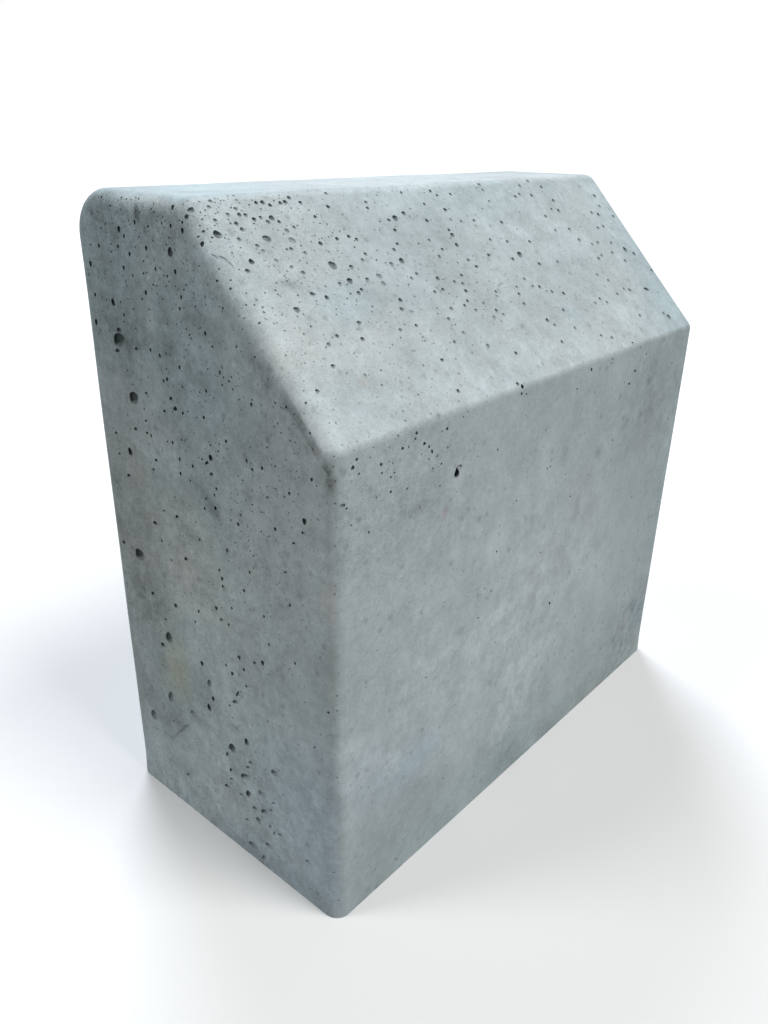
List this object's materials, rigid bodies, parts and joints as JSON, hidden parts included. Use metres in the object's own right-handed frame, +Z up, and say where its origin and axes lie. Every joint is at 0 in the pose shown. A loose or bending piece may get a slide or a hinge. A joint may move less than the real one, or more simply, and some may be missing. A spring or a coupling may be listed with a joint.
{
  "type": "concrete kerb stone",
  "caption": "Short precast concrete kerb stone with an upright road face, a broad splay, a rounded back edge and a flat bed.",
  "frame": {"origin": "middle of the flat bed that the kerb stands on", "axes": "+X along the kerb line, +Y from the road face to the back, +Z up from the bed to the top"},
  "size_m": [0.3, 0.15, 0.3],
  "materials": {
    "concrete": "smooth mould-cast grey concrete, matt, with scattered air holes"
  },
  "bodies": {
    "root": {"kerb_stone": "concrete"}
  },
  "joints": []
}
